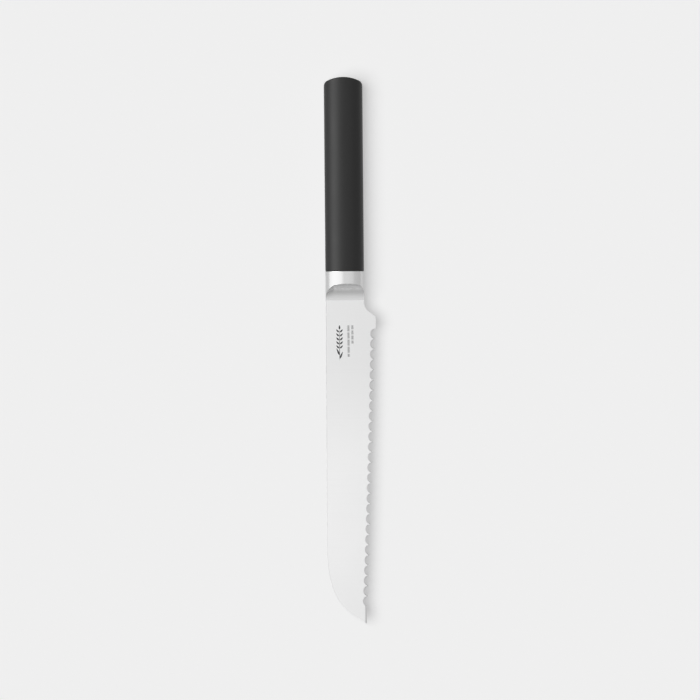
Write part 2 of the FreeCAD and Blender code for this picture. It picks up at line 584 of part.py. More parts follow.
def make_blade():
    body = new_body("blade")
    outline = new_sketch(body, "outline", "XY_Plane")
    add_blade_outline(outline)
    pad(body, outline, "1.5 * Sheet.spine_thickness", both_sides=True)
    grind_faces(body)
    cut_tip_bevel(body)
    cut_scallops(body)
    return body


# ---------------------------------------------------------------- bolster

def make_bolster():
    """Oval collar with two ground scoops, a spigot for the grip and a slot for the tang."""
    body = new_body("bolster")
    collar = new_sketch(body, "collar", "XZ_Plane")
    add_ellipse(collar, "collar", "Sheet.handle_width", "Sheet.handle_thickness")
    pad(body, collar, "Sheet.bolster_length")
    grind_faces(body)
    spigot = new_sketch(body, "spigot", "XZ_Plane")
    add_ellipse(spigot, "spigot", CORE_WIDTH, CORE_THICKNESS)
    pad(body, spigot, "Sheet.seal_thickness + Sheet.spigot_length", reverse=True)
    slot = new_sketch(body, "slot", "XZ_Plane", "Sheet.tang_socket")
    add_rectangle(slot, "slot", "Sheet.tang_width / 2", "Sheet.tang_width / 2",
                  "Sheet.tang_thickness / 2", "Sheet.tang_thickness / 2")
    pocket(body, slot, "Sheet.tang_socket + 2 * Sheet.spigot_length + Sheet.seal_thickness")
    return body


# ---------------------------------------------------------------- handle

def make_tang():
    """Flat steel strip in the bolster's slot, with holes that lock it into the bond."""
    body = new_body("tang")
    outline = new_sketch(body, "outline", "XY_Plane")
    add_tang_outline(outline)
    pad(body, outline, "Sheet.tang_thickness", both_sides=True)
    return body


def make_joint_seal():
    """Sealant squeezed between the bolster and the grip, a hair below the surface."""
    body = new_body("joint_seal")
    ring = new_sketch(body, "ring", "XZ_Plane")
    add_ellipse(ring, "outside", "Sheet.handle_width - 2 * Sheet.seal_recess",
                "Sheet.handle_thickness - 2 * Sheet.seal_recess")
    pad(body, ring, "Sheet.seal_thickness", reverse=True)
    opening = new_sketch(body, "opening", "XZ_Plane")
    add_ellipse(opening, "opening", CORE_WIDTH, CORE_THICKNESS)
    pocket(body, opening, "4 * Sheet.seal_thickness", both_sides=True)
    return body


def make_grip():
    """Outer shot of the handle: an oval sleeve with a closed, bowed butt."""
    body = new_body("grip")
    outside = new_sketch(body, "outside", "XZ_Plane", "-Sheet.seal_thickness")
    add_ellipse(outside, "outside", "Sheet.handle_width", "Sheet.handle_thickness")
    pad(body, outside, "Sheet.handle_length - Sheet.seal_thickness", reverse=True)

    bow = new_sketch(body, "bow", "XY_Plane")
    add_butt_cut(bow)
    pocket(body, bow, "2 * Sheet.handle_thickness", both_sides=True)
    cavity = new_sketch(body, "cavity", "XZ_Plane", f"-{CAVITY_END}")
    add_ellipse(cavity, "cavity", CORE_WIDTH, CORE_THICKNESS)
    pocket(body, cavity, f"Sheet.cavity_depth + {MARGIN}", reverse=True)
    fillet(body, "butt_rounding", "Sheet.butt_rounding", on_butt_bow)
    fillet(body, "mouth_rounding", "Sheet.mouth_rounding", on_mouth_rim)
    return body


def make_handle_core():
    """Hard inner shot of the handle, from the spigot to the end of the cavity."""
    body = new_body("handle_core")
    outside = new_sketch(body, "outside", "XZ_Plane", f"-{CAVITY_END}")
    add_ellipse(outside, "outside", CORE_WIDTH, CORE_THICKNESS)
    pad(body, outside, "Sheet.cavity_depth - Sheet.spigot_length")
    socket = new_sketch(body, "socket", "XZ_Plane", f"-{SOCKET_END}")
    add_rectangle(socket, "socket", SOCKET_SIDE, SOCKET_SIDE, SOCKET_FACE, SOCKET_FACE)
    pocket(body, socket, f"Sheet.tang_length + {MARGIN}", reverse=True)
    return body


def make_tang_bond():
    """Adhesive that fills the core's socket all round the tang and through its holes."""
    body = new_body("tang_bond")
    block = new_sketch(body, "block", "XZ_Plane", f"-{SOCKET_END}")
    add_rectangle(block, "block", SOCKET_SIDE, SOCKET_SIDE, SOCKET_FACE, SOCKET_FACE)
    pad(body, block, f"{SOCKET_END} - Sheet.seal_thickness - Sheet.spigot_length")
    tang = new_sketch(body, "tang", "XY_Plane")
    add_tang_outline(tang)
    pocket(body, tang, "Sheet.tang_thickness", both_sides=True)
    return body


# ---------------------------------------------------------------- assembly

pieces = [
    make_blade(),
    make_bolster(),
    make_joint_seal(),
    make_tang(),
    make_tang_bond(),
    make_handle_core(),
    make_grip(),
]

# The origin lies under the middle of the knife, on the surface that its handle lies on.
for piece in pieces:
    piece.setExpression("Placement.Base.x",
                        "(Sheet.handle_width / 2 + Sheet.spine_flare - Sheet.heel_reach) / 2")
    piece.setExpression("Placement.Base.y", "(Sheet.blade_reach - Sheet.handle_length) / 2")
    piece.setExpression("Placement.Base.z", "Sheet.handle_thickness / 2")
doc.recompute()

for thing in doc.Objects:
    if "Invalid" in thing.State or "Error" in thing.State:
        raise RuntimeError(f"{thing.Label} failed: {thing.State}")
for piece in pieces:
    if piece.Shape.isNull() or not piece.Shape.isValid():
        raise RuntimeError(f"{piece.Label} has no valid shape")
    if len(piece.Shape.Solids) != 1:
        raise RuntimeError(f"{piece.Label} holds {len(piece.Shape.Solids)} solids")

os.makedirs("parts", exist_ok=True)
for piece in pieces:
    piece.Shape.exportStep(f"parts/{piece.Label}.step")
    print(f"{piece.Label}: {piece.Shape.Volume:.0f} mm3")
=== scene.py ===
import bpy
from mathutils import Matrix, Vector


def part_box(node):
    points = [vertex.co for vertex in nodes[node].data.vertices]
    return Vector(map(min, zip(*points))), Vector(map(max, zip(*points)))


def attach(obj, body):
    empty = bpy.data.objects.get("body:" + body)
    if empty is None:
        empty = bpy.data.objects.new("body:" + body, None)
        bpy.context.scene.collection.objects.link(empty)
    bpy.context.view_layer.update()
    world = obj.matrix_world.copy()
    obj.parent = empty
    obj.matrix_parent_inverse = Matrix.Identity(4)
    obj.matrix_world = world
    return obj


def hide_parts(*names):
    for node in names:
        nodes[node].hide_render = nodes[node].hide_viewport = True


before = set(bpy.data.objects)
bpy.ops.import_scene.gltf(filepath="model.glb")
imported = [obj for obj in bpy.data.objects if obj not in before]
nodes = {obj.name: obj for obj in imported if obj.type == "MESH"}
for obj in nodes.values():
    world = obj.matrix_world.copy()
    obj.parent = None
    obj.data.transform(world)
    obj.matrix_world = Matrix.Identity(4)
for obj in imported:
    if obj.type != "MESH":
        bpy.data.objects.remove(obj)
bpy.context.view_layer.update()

# %% [markdown]
# # A bread knife, seen from straight above
#
# The imported model gives the fixed frame: seven pieces of a bread knife that lies on its side.
# Blender gives three of them a finer skin, and every piece its finish.
# X runs across the blade, from the spine to the cutting edge. Y runs along the knife, from the
# tip to the butt. Z points up, out of the blade's ground face. Everything is in metres.
#
# The skins are surfaces on a grid: each is a formula of two parameters, worked out with numpy
# for all the points at once. A grid gives even faces that catch the light smoothly, and it keeps
# the corner lines of the real piece on the lines of the mesh.

# %% Libraries and the places that everything hangs on
import math

import bmesh
import bpy
import numpy as np

MM = 0.001
grip_low, grip_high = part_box("grip")
seal_low, seal_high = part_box("joint_seal")
blade_low, blade_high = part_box("blade")
bolster_low, bolster_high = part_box("bolster")
core_low, core_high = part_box("handle_core")
tang_low, tang_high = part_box("tang")

AXIS_X = (grip_low.x + grip_high.x) / 2
JOINT_Y = seal_low.y
MID_Z = (grip_low.z + grip_high.z) / 2
HALF_WIDTH = (grip_high.x - grip_low.x) / 2
HALF_THICK = (grip_high.z - grip_low.z) / 2
print(f"joint at y {JOINT_Y * 1000:.1f} mm, handle {HALF_WIDTH * 2000:.1f} mm wide")

# %% [markdown]
# ## Turning a grid of points into a mesh
#
# Every skin here is a tube: rows of points, each row a closed ring. One helper joins neighbouring
# rows with four-sided faces and closes the two ends with a fan of triangles. It takes many small
# tubes at once as well, for the pattern on the blade. Points that fall together are merged
# afterwards, so no face without an area stays behind. Where two faces meet at a real corner the
# edge is marked sharp, and everything else is shaded smooth.

# %% A helper that skins rings
def skin_rings(name, rings, edge=None, sharp_degrees=18.0):
    """Mesh object from rings of shape (tubes, rows, columns, 3), or (rows, columns, 3) for one.

    Point (i, j) is joined to (i + 1, j) and to (i, j + 1), where the last column meets the first.
    The first and last ring are closed by a fan to their middle. The edge array holds one number
    per point: up to 1 on corners that hands and cloths rub and, on the blade, where painted shade
    darkens the spine and the ground edge; 0 elsewhere."""
    rings = rings.reshape((-1,) + rings.shape[-3:])
    tubes, rows, columns, _ = rings.shape
    row, column = np.meshgrid(np.arange(rows - 1), np.arange(columns), indexing="ij")
    after = (column + 1) % columns
    quads = np.stack([row * columns + column, row * columns + after,
                      (row + 1) * columns + after, (row + 1) * columns + column], axis=-1)
    around = np.arange(columns)
    beyond = (around + 1) % columns
    size = rows * columns + 2
    last = (rows - 1) * columns
    first_fan = np.stack([np.full(columns, size - 2), beyond, around], axis=-1)
    last_fan = np.stack([np.full(columns, size - 1), last + around, last + beyond], axis=-1)
    start = (np.arange(tubes) * size)[:, None, None]
    quads = (quads.reshape(1, -1, 4) + start).reshape(-1, 4)
    fans = np.concatenate([first_fan, last_fan])[None] + start
    ends = np.stack([rings[:, 0].mean(1), rings[:, -1].mean(1)], axis=1)
    points = np.concatenate([rings.reshape(tubes, -1, 3), ends], axis=1)
    mesh = bpy.data.meshes.new(name)
    mesh.from_pydata(points.reshape(-1, 3).tolist(), [],
                     quads.tolist() + fans.reshape(-1, 3).tolist())
    if edge is None:
        edge = np.zeros((tubes, rows * columns))
    # edge numbers: rubbed corners, and on the blade painted shade
    rubbed_and_painted_shade = np.zeros((tubes, size))
    rubbed_and_painted_shade[:, :-2] = edge.reshape(tubes, -1)
    layer = mesh.attributes.new("edge", "FLOAT", "POINT")
    layer.data.foreach_set("value", rubbed_and_painted_shade.ravel().astype(np.float32))
    work = bmesh.new()
    work.from_mesh(mesh)
    bmesh.ops.remove_doubles(work, verts=work.verts, dist=1e-7)
    bmesh.ops.dissolve_degenerate(work, edges=work.edges, dist=1e-8)
    bmesh.ops.recalc_face_normals(work, faces=work.faces)
    open_edges = sum(not side.is_manifold for side in work.edges)
    work.to_mesh(mesh)
    work.free()
    mesh.shade_smooth()
    mesh.set_sharp_from_angle(angle=math.radians(sharp_degrees))
    piece = bpy.data.objects.new(name, mesh)
    bpy.context.scene.collection.objects.link(piece)
    print(f"{name}: {len(mesh.polygons)} faces, {open_edges} open edges")
    return piece


# %% [markdown]
# ## The grip
#
# The real grip is one moulding: an oval bar with a bowed butt whose corners are rounded, hollow
# inside where the harder core fills it. It could be an extruded curve with a bevel, but the bow
# meets the oval at an angle that changes all the way round. As a formula that is easy: the ring
# shrinks a little as it goes over the rim's rounding, then shrinks to nothing along the bow.

# %% Sizes of the grip
BUTT_RADIUS = 25.0 * MM
BUTT_CORNER = 3.0 * MM
RIM_ROUNDING = 0.6 * MM
MOUTH_ROUNDING = 0.3 * MM
COLUMNS = 384
turn = np.linspace(0, 2 * np.pi, COLUMNS, endpoint=False)
print(f"rings of {COLUMNS} points")


# %% Ovals, the butt's bow, and a helper that moves a ring to its place


def oval(half_width, half_thick, inset=0.0):
    """Ring of an ellipse: x is the half width times the cosine of the turn, z the half thickness
    times its sine. An inset moves each point inwards along the ellipse's own normal."""
    inset = np.asarray(inset, float)[..., None]
    normal_x = np.cos(turn) / half_width
    normal_z = np.sin(turn) / half_thick
    length = np.hypot(normal_x, normal_z)
    x = half_width * np.cos(turn) - inset * normal_x / length
    z = half_thick * np.sin(turn) - inset * normal_z / length
    return x, z


def butt_bow(x):
    """Height of the butt at a distance from the axis: one wide circle, and near the sides the
    small circle that touches both the wide one and the side."""
    across = np.abs(x)
    crown = grip_high.y - BUTT_RADIUS
    wide = crown + np.sqrt(BUTT_RADIUS ** 2 - across ** 2)
    middle_x = HALF_WIDTH - BUTT_CORNER
    middle_y = crown + math.sqrt((BUTT_RADIUS - BUTT_CORNER) ** 2 - middle_x ** 2)
    touch_x = middle_x * BUTT_RADIUS / (BUTT_RADIUS - BUTT_CORNER)
    inside = np.clip(BUTT_CORNER ** 2 - (across - middle_x) ** 2, 0, None)
    return np.where(across > touch_x, middle_y + np.sqrt(inside), wide)


def placed(x, y, z):
    """Points about the handle's axis, moved to where the knife lies."""
    x, y, z = np.broadcast_arrays(x, y, z)
    return np.stack([x + AXIS_X, y, z + MID_Z], axis=-1)


# %% The grip's skin
def grip_rings():
    """Rings from the middle of the butt, over its rim, down the side, round the mouth and back
    up the hollow. Over the rim, the ring is inset by r (1 - cos a) and lies r (1 - sin a) below
    the bow, as a runs from a right angle to zero."""
    crowding = 0.8  # rings lie a little closer together near the rim than at the middle
    share = np.linspace(0.0, 1.0, 18)[1:-1] ** crowding
    face_x, face_z = oval(HALF_WIDTH, HALF_THICK, RIM_ROUNDING)
    face_x = share[:, None] * face_x
    face_z = share[:, None] * face_z
    crown = placed(face_x, butt_bow(face_x), face_z)

    angle = np.linspace(np.pi / 2, 0, 11)
    round_x, round_z = oval(HALF_WIDTH, HALF_THICK, RIM_ROUNDING * (1 - np.cos(angle)))
    fall = RIM_ROUNDING * (1 - np.sin(angle))[:, None]
    rim = placed(round_x, butt_bow(round_x) - fall, round_z)

    mouth_y = seal_high.y
    side_x, side_z = oval(HALF_WIDTH, HALF_THICK)
    top = rim[-1, :, 1]
    beside_rim = 0.002  # a ring right beside the rim keeps the side flat in the light
    down = np.concatenate([[beside_rim], np.linspace(0, 1, 24)[1:]])[:, None]
    side_y = top + down * (mouth_y + MOUTH_ROUNDING - top)
    side = placed(side_x[None, :], side_y, side_z[None, :])

    angle = np.linspace(0, np.pi / 2, 8)[1:]
    lip_x, lip_z = oval(HALF_WIDTH, HALF_THICK, MOUTH_ROUNDING * (1 - np.cos(angle)))
    lip_y = mouth_y + MOUTH_ROUNDING * (1 - np.sin(angle))[:, None]
    lip = placed(lip_x, lip_y, lip_z)

    hollow_x, hollow_z = oval((core_high.x - core_low.x) / 2, (core_high.z - core_low.z) / 2)
    hollow = np.stack([placed(hollow_x, mouth_y, hollow_z),
                       placed(hollow_x, core_high.y, hollow_z)])
    rings = np.concatenate([crown, rim, side, lip, hollow])
    edge = np.zeros(rings.shape[:2])
    edge[len(crown):len(crown) + len(rim)] = 1
    edge[-len(lip) - 2:-2] = 1
    return rings, edge


grip = skin_rings("grip_skin", *grip_rings())
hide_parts("grip")
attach(grip, "root")

# %% [markdown]
# ## The ground face
#
# Blade and bolster are ground together on the real knife, so both skins share one formula for the
# height of the front face above the middle of the steel. It falls a little from the spine to the
# edge, which makes the blade a wedge, and a little towards the tip. Under the handle it turns up
# into the scoop: a hollow with the radius of the grinding wheel, drawn in a little tighter where
# the wheel runs out over the spine.

# %% Sizes of the steel
LIP_Y = blade_high.y
TIP_Y = blade_low.y
HALF_SPINE = 1.0 * MM
HALF_TIP = 0.8 * MM
HALF_EDGE = 0.25 * MM
HEEL_REACH = blade_high.x - AXIS_X
SCOOP_RADIUS = 10.0 * MM
SCOOP_TIGHTER = 4.0 * MM
SCOOP_RUN_OUT = 5.0 * MM
SCOOP_EASE = 0.12 * MM
COLLAR_ROUNDING = 0.1 * MM
WEDGE = (HALF_SPINE - HALF_EDGE) / (HEEL_REACH + HALF_WIDTH)
TAPER = (HALF_SPINE - HALF_TIP) / (LIP_Y - TIP_Y)
print(f"blade {(LIP_Y - TIP_Y) * 1000:.1f} mm from lip to tip, widest {HEEL_REACH * 1000:.1f} mm out")


def face_height(x, y):
    """Half the thickness of the blade: a plane that falls from spine to edge and to the tip."""
    return HALF_SPINE - WEDGE * (x + HALF_WIDTH) - TAPER * (LIP_Y - y)


def wheel_radius(x):
    """The scoop's radius: constant, and falling evenly over the last few millimetres to the
    spine."""
    return SCOOP_RADIUS - SCOOP_TIGHTER * np.clip(1 - (x + HALF_WIDTH) / SCOOP_RUN_OUT, 0, 1)


def scoop_height(x, y):
    """The face's height, turned up by the wheel's circle behind the bolster's lip."""
    radius = wheel_radius(x)
    behind = np.clip(y - LIP_Y, 0, radius)
    return face_height(x, LIP_Y) + radius - np.sqrt(radius ** 2 - behind ** 2)


# %% [markdown]
# ## The bolster
#
# The bolster is an oval collar of the same steel. The two scoops cut its front down to the
# blade, and the line where scoop and collar meet is what the eye follows. A boolean cut would
# leave long thin faces along that line. Here the line is a row of the grid: for each column the
# collar runs from the joint to that line, a few rows ease the corner as a polishing cloth does,
# and the scoop runs on to the lip. At the back the spigot and the tang's slot are rings too.

# %% The bolster's skin
def scoop_line(x, z):
    """Where the scoop leaves the oval: solve the wheel's circle for the oval's height.

    With d the oval's height above the blade, the way back from the lip is the square root of
    2 R d - d squared, and nothing where the oval lies under the blade's own face."""
    radius = wheel_radius(x)
    depth = np.clip(np.abs(z) - face_height(x, LIP_Y), 0, radius)
    return LIP_Y + np.sqrt(2 * radius * depth - depth ** 2)


def slot_ring():
    """The oval's columns moved onto the outline of the tang: each point of a circle is pushed out
    to the square round it, which is then stretched to the strip's width and thickness."""
    push = 1 / np.maximum(np.abs(np.cos(turn)), np.abs(np.sin(turn)))
    half_x = (tang_high.x - tang_low.x) / 2
    half_z = (tang_high.z - tang_low.z) / 2
    return half_x * push * np.cos(turn), half_z * push * np.sin(turn)


def bolster_rings():
    """Slot, spigot, collar, eased corner and scoop, from the back to the lip. The eased corner is
    a curve with three control points: a little up the collar, the corner, a little down the
    scoop."""
    slot_x, slot_z = slot_ring()
    spigot_x, spigot_z = oval((core_high.x - core_low.x) / 2, (core_high.z - core_low.z) / 2)
    collar_x, collar_z = oval(HALF_WIDTH, HALF_THICK)
    back = np.stack([
        placed(slot_x, tang_low.y, slot_z),
        placed(slot_x, bolster_high.y, slot_z),
        placed(spigot_x, bolster_high.y, spigot_z),
        placed(spigot_x, JOINT_Y, spigot_z),
    ])
    corner = scoop_line(collar_x, collar_z)
    ease = np.minimum(SCOOP_EASE, (corner - LIP_Y) / 3)
    angle = np.linspace(np.pi / 2, 0, 5)
    rim_x, rim_z = oval(HALF_WIDTH, HALF_THICK, COLLAR_ROUNDING * (1 - np.cos(angle)))
    rim_y = JOINT_Y - COLLAR_ROUNDING * (1 - np.sin(angle))[:, None]
    rim = placed(rim_x, rim_y, rim_z)
    begin = JOINT_Y - COLLAR_ROUNDING
    along = np.linspace(0, 1, 16)[1:, None]
    collar = placed(collar_x, begin + along * (corner + ease - begin), collar_z)

    def scoop_point(y):
        height = np.minimum(scoop_height(collar_x, y), np.abs(collar_z))
        return placed(collar_x, y, height * np.sign(collar_z))

    share = np.linspace(0, 1, 6)[1:-1, None, None]
    above = placed(collar_x, corner + ease, collar_z)
    eased = ((1 - share) ** 2 * above + 2 * share * (1 - share)
             * placed(collar_x, corner, collar_z) + share ** 2 * scoop_point(corner - ease))
    along = np.linspace(0, 1, 44)[:, None]
    scoop = scoop_point(corner - ease + along * (LIP_Y - corner + ease))
    rings = np.concatenate([back, rim, collar, eased, scoop])
    edge = np.zeros(rings.shape[:2])
    first = len(back) + len(rim) + len(collar)
    edge[first - 1:first + len(eased) + 1] = 1
    edge[len(back):len(back) + len(rim)] = 1
    return rings, edge


bolster = skin_rings("bolster_skin", *bolster_rings())
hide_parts("bolster")
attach(bolster, "root")

# %% [markdown]
# ## The blade
#
# The real blade is a strip of stainless steel, ground to a wedge, with round scallops ground into
# the front of its edge at a slant. Cutting twenty-seven cylinders out of a mesh would leave a
# tangle of thin faces. Instead the blade is a stack of thin slices across its length. Each slice
# is a simple outline: spine, front face, bevel, back face. The scallops are in the formula
# for where the front face and the back face end. Before the tip the edge is plain: it is ground
# back a little from the scallops' line and has one straight bevel.

# %% Sizes of the blade
SPINE_FLARE = 0.6 * MM
NOSE_RADII = (78.1 * MM, 32.3 * MM)
NOSE_TURNS = (math.radians(15.9), math.radians(57.3))
CHOIL_START = JOINT_Y - 18.8 * MM
CHOIL_RADIUS = 7.4 * MM
CHOIL_TURN = math.radians(53.0)
HEEL_RADIUS = 2.0 * MM
HEEL_Y = JOINT_Y - 28.9 * MM
EDGE_BOW = 8000.0 * MM
EDGE_BOW_Y = JOINT_Y + 170.0 * MM
SCALLOP_START = JOINT_Y - 35.2 * MM
SCALLOP_PITCH = 6.31 * MM
SCALLOP_RADIUS = 3.28 * MM
SCALLOP_DEPTH = 2.97 * MM
SCALLOP_SLANT = math.tan(math.radians(31.0))
TIP_PLAIN = 10.6 * MM
TIP_BEVEL = 1.1 * MM
TIP_STEP = 0.9 * MM
TIP_TRIM = 0.45 * MM
SPINE_EASE = 0.10 * MM
HEEL_EASE = 0.22 * MM
HEEL_END = SCALLOP_START + 0.5 * MM
# painted shade on the scalloped bevel: the run over which it grows towards the tip, and its strength
BEVEL_SHADE_RUN = 80 * MM
BEVEL_SHADE = 0.5
HAIR = 1e-6

scallop_room = SCALLOP_START - (TIP_Y + TIP_PLAIN)
SCALLOPS = round(scallop_room / SCALLOP_PITCH)
SCALLOP_END = SCALLOP_START - SCALLOPS * SCALLOP_PITCH
PLAIN_START = SCALLOP_END + TIP_TRIM
EDGE_CENTRE = HEEL_REACH - math.sqrt(EDGE_BOW ** 2 - (EDGE_BOW_Y - HEEL_Y) ** 2)
print(f"{SCALLOPS} scallops")


# %% Outlines of the blade
def edge_line(y):
    """The edge before the scallops are ground: one very long circle from heel to tip."""
    return EDGE_CENTRE + np.sqrt(EDGE_BOW ** 2 - (EDGE_BOW_Y - y) ** 2)


def spine_line(y):
    """Straight spine that flares a little, then two circles and a straight chamfer to the tip.

    Each circle drops by its radius times the change in cosine of its turn, so the places where
    they meet follow from the tip backwards."""
    r1, r2 = NOSE_RADII
    a1, a2 = NOSE_TURNS
    width = edge_line(PLAIN_START) - TIP_STEP + HALF_WIDTH + SPINE_FLARE
    drop_1 = r1 * (1 - math.cos(a1))
    drop_2 = drop_1 + r2 * (math.cos(a1) - math.cos(a2))
    chamfer = (width - drop_2) / math.tan(a2)
    y2 = TIP_Y + chamfer
    y1 = y2 + r2 * (math.sin(a2) - math.sin(a1))
    y0 = y1 + r1 * math.sin(a1)
    on_first = r1 - np.sqrt(r1 ** 2 - np.clip(y0 - y, 0, r1 * math.sin(a1)) ** 2)
    sine = np.clip((y1 - y) / r2 + math.sin(a1), math.sin(a1), math.sin(a2))
    on_second = r2 * (math.cos(a1) - np.sqrt(1 - sine ** 2))
    on_chamfer = np.clip(y2 - y, 0, chamfer) * math.tan(a2)
    flare = SPINE_FLARE * np.clip((LIP_Y - y) / (LIP_Y - y0), 0, 1)
    return -HALF_WIDTH - flare + on_first + on_second + on_chamfer


def choil_line(y):
    """Straight under the bolster, hollowed by the choil's circle, then a slope to the heel."""
    start = CHOIL_START
    end = start - CHOIL_RADIUS * math.sin(CHOIL_TURN)
    sine = np.clip((start - y) / CHOIL_RADIUS, 0, math.sin(CHOIL_TURN))
    on_circle = CHOIL_RADIUS * (1 - np.sqrt(1 - sine ** 2))
    on_slope = np.clip(end - y, 0, None) * math.tan(CHOIL_TURN)
    return HALF_WIDTH + on_circle + on_slope


def heel_round(y):
    """The heel's corner: the circle that touches both the choil's slope and the edge."""
    slope = math.tan(CHOIL_TURN)
    end = CHOIL_START - CHOIL_RADIUS * math.sin(CHOIL_TURN)
    reach_at_end = HALF_WIDTH + CHOIL_RADIUS * (1 - math.cos(CHOIL_TURN))
    corner_y = end - (HEEL_REACH - reach_at_end) / slope
    centre_x = HEEL_REACH - HEEL_RADIUS
    centre_y = corner_y - HEEL_RADIUS * math.tan(CHOIL_TURN / 2)
    off = np.clip(y - centre_y, 0, HEEL_RADIUS * math.sin(CHOIL_TURN))
    circle = centre_x + np.sqrt(HEEL_RADIUS ** 2 - off ** 2)
    inside = (y > centre_y) & (y < centre_y + HEEL_RADIUS * math.sin(CHOIL_TURN))
    return np.where(inside, circle, np.inf)


def plain_outline(y):
    """The edge side without scallops: the innermost of bow, choil and rounded heel, and the
    plain edge before the tip, which is ground back a little and runs parallel to the spine."""
    bow = np.where(y < PLAIN_START, edge_line(PLAIN_START) - TIP_STEP, edge_line(y))
    return np.minimum(np.minimum(bow, choil_line(y)), heel_round(y))


def scallop_floor(y, height):
    """How far the scallops leave the steel at a height over the middle of the blade.

    Each scallop is a circle whose middle lies just outside the edge. The wheel is held at a
    slant, so higher up the same circle lies further in, by the height over the slant."""
    number = np.clip(np.floor((SCALLOP_START - y) / SCALLOP_PITCH), 0, SCALLOPS - 1)
    middle_y = SCALLOP_START - (number + 0.5) * SCALLOP_PITCH
    middle_x = edge_line(middle_y) + SCALLOP_RADIUS - SCALLOP_DEPTH - height / SCALLOP_SLANT
    chord = np.sqrt(np.clip(SCALLOP_RADIUS ** 2 - (y - middle_y) ** 2, 0, None))
    inside = (y < SCALLOP_START) & (y > SCALLOP_END)
    return np.where(inside, middle_x - chord, np.inf)


# %% Where the slices lie
SLICES_A_SCALLOP = 26
TIP_CROWDING = 1.3


def slice_places():
    """Places along the blade: close together in the scallops and in every curve of the outline.
    Two slices a hair apart make the step where the plain edge starts."""
    heel = np.linspace(LIP_Y, HEEL_Y, 60)
    flat = np.linspace(HEEL_Y, SCALLOP_START, 8)[1:]
    steps = (np.arange(SCALLOPS * SLICES_A_SCALLOP) + 1) / SLICES_A_SCALLOP
    scallops = SCALLOP_START - steps * SCALLOP_PITCH
    scallops = np.sort(np.append(scallops, [PLAIN_START, PLAIN_START - 2 * HAIR]))[::-1]
    nose = TIP_Y + (SCALLOP_END - TIP_Y) * np.linspace(1, 0, 60)[1:] ** TIP_CROWDING
    return np.concatenate([heel, flat, scallops, nose])


places = slice_places()
print(f"{len(places)} slices")


# %% The blade's skin
def quarter(count):
    """Sine and one minus cosine over a quarter turn, for rounding a corner in even steps."""
    angle = np.linspace(0, np.pi / 2, count)[None, :]
    return np.sin(angle), 1 - np.cos(angle)


def blade_rings():
    """One ring per slice: along the front face from spine to edge, down the bevel or the eased
    corner, back along the back face, and round the spine.

    A row right beside each corner keeps the broad faces flat in the light. The edge number is 1
    round the spine, and on the bevel it grows towards the tip: painted shade that darkens the spine
    and the ground edge."""
    y = places[:, None]
    spine = spine_line(y)
    outline = np.maximum(plain_outline(y), spine + HAIR)
    in_tip = y < PLAIN_START
    in_heel = y > HEEL_END
    floor_front = scallop_floor(y, face_height(outline - 3 * MM, y))
    floor_back = scallop_floor(y, -face_height(outline - 2 * MM, y))
    front = np.minimum(outline, floor_front)
    ground_back = np.maximum(outline - TIP_BEVEL, spine + HAIR / 2)
    front = np.where(in_tip, np.minimum(front, ground_back), front)
    front = np.where(in_heel, outline - np.minimum(HEEL_EASE, face_height(outline, y)), front)
    back = np.minimum(outline, floor_back)
    ease = np.minimum(SPINE_EASE, np.maximum(front - spine, 0) / 4)

    by_spine = [0, 0.006, 0.028]
    by_edge = [0.994, 1]
    across = np.concatenate([by_spine, np.linspace(0, 1, 10)[1:-1], by_edge])[None]
    front_x = spine + ease + across * (front - spine - ease)
    front_z = face_height(front_x, y)

    # the bevel is straight; round choil and heel the corner is a quarter circle instead
    share = np.linspace(0, 1, 7)[None, 1:-1]
    top_z = face_height(front, y)
    low_z = -face_height(back, y)
    sine, versine = quarter(7)
    corner_x = front + (outline - front) * sine[:, 1:-1]
    corner_z = top_z - (outline - front) * versine[:, 1:-1]
    bevel_x = np.where(in_heel, corner_x, front + share * (back - front))
    bevel_z = np.where(in_heel, corner_z, top_z + share * (low_z - top_z))

    back_x = back + across * (spine + ease - back)
    back_z = -face_height(back_x, y)
    sine, versine = quarter(9)
    side_z = face_height(spine + ease, y)
    round_x = spine + ease * (1 - sine[:, 1:])
    low_corner_z = -side_z + ease * versine[:, 1:]
    x = np.concatenate([front_x, bevel_x, back_x, round_x, round_x[:, ::-1]], axis=1)
    z = np.concatenate([front_z, bevel_z, back_z, low_corner_z, -low_corner_z[:, ::-1]], axis=1)
    # painted shade through the edge number: the spine's corner and the ground bevel are darkened,
    # most at the tip
    edge = np.zeros(x.shape)
    edge[:, front_x.shape[1] + back_x.shape[1] + bevel_x.shape[1]:] = 1
    edge[:, :2] = 1
    bevel = slice(front_x.shape[1], front_x.shape[1] + bevel_x.shape[1])
    bevel_shade_on = np.clip((PLAIN_START + BEVEL_SHADE_RUN - y) / BEVEL_SHADE_RUN, 0, 1)
    edge[:, bevel] = np.where(in_tip, 1.0, BEVEL_SHADE * bevel_shade_on)
    return placed(x, np.broadcast_to(y, x.shape), z), edge


blade = skin_rings("blade_skin", *blade_rings())
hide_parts("blade")
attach(blade, "root")

# %% [markdown]
# ## The mark on the blade
#
# Kitchen knives carry an etched mark near the heel. This one is a plain ear of wheat with two
# rows of fine strokes beside it, and no lettering. Etching turns the steel dark and leaves it a
# few micrometres proud, so the mark is made of very thin plates that follow the ground face.
# Each plate is a small tube of rings, and all of them are worked out in one go. A text object
# or an image on the face would be other ways, but plates need neither letters nor a picture.

# %% Thin plates on the blade's face
PLATE_COLUMNS = 20
plate_turn = np.linspace(0, 2 * np.pi, PLATE_COLUMNS, endpoint=False)


